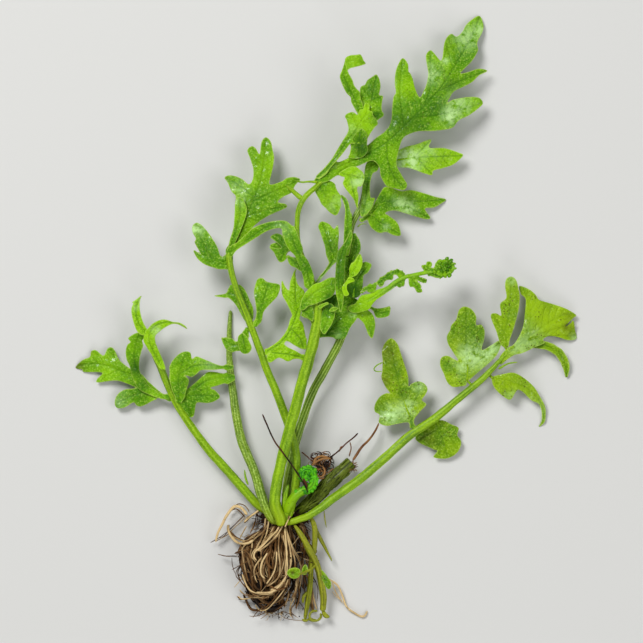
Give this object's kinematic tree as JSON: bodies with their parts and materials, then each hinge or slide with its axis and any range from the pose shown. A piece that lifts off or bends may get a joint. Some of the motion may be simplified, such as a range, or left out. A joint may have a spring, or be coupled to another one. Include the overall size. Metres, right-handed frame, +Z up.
{
  "type": "water sprite plant",
  "caption": "Bare-root broad leaf water sprite, an aquarium fern with lobed fronds on long stalks, a coiled young frond and a bundle of roots, lying on a surface.",
  "frame": {"origin": "middle of the footprint on the surface that the plant lies on", "axes": "+Y from the roots to the tip of the topmost leaf, +X to the right of the picture, +Z up from the surface"},
  "size_m": [0.2018, 0.2422, 0.0257],
  "materials": {
    "crown_olive": "matt, dark olive",
    "stem_green": "satin, finely ribbed lengthwise",
    "dead_brown": "matt, dry",
    "stem_striped": "satin, pale and dark stripes lengthwise",
    "leaf_green": "satin wet leaf blade",
    "leaf_pale": "satin wet leaf blade, pale",
    "leaf_old": "satin leaf blade of an older frond, yellowish with brown dots",
    "root_tan": "matt, fibrous",
    "shoot_olive": "satin"
  },
  "bodies": {
    "root": {"crown": "crown_olive", "young_crozier": "stem_green", "old_stub": "crown_olive", "dead_tuft": "dead_brown", "dead_strand_long": "dead_brown", "dead_thread": "dead_brown", "stem_left": "stem_green", "stem_cut_left": "stem_striped", "stem_mid_left": "stem_green", "stem_main": "stem_green", "stem_main_upper": "stem_green", "stem_back": "stem_striped", "stem_right": "stem_green", "leaf_left_outer": "leaf_green", "leaf_left_fold": "leaf_green", "leaf_left_inner": "leaf_green", "leaf_left_tip": "leaf_pale", "leaf_left_curl": "leaf_pale", "leaf_mid_top": "leaf_green", "leaf_mid_arch": "leaf_green", "leaf_mid_outer": "leaf_pale", "leaf_mid_behind": "leaf_green", "leaf_mid_right": "leaf_green", "leaf_mid_low": "leaf_green", "leaf_mid_inner": "leaf_pale", "leaf_fork_base": "leaf_green", "leaf_fork_left": "leaf_green", "leaf_fork_ribbon": "leaf_pale", "leaf_fork_dark": "leaf_green", "leaf_fork_bright": "leaf_pale", "leaf_fork_back": "leaf_green", "leaf_fork_thin": "leaf_green", "leaf_fork_right": "leaf_green", "leaf_fork_tab": "leaf_green", "frond_coil_stem": "stem_green", "frond_coil_tip": "leaf_green", "frond_coil_pinna": "leaf_green", "leaf_small_left": "leaf_green", "leaf_hanging": "leaf_green", "leaf_fold": "leaf_pale", "leaf_top_left": "leaf_green", "leaf_top_left_curl": "leaf_green", "leaf_top_blade": "leaf_green", "leaf_top_pale": "leaf_pale", "leaf_right_mid": "leaf_green", "leaf_right_inner": "leaf_old", "leaf_right_under": "leaf_old", "leaf_right_upper": "leaf_old", "leaf_right_tip": "leaf_old", "leaf_right_fan": "leaf_old", "leaf_right_droop": "leaf_old", "leaf_right_hook": "leaf_green", "root_mass": "root_tan", "root_loop_upper": "root_tan", "root_long_right": "root_tan", "shoot_front": "shoot_olive", "shoot_rear": "shoot_olive", "shoot_point": "shoot_olive", "root_leaflet_front": "leaf_pale", "root_leaflet_side": "leaf_pale"}
  },
  "joints": []
}
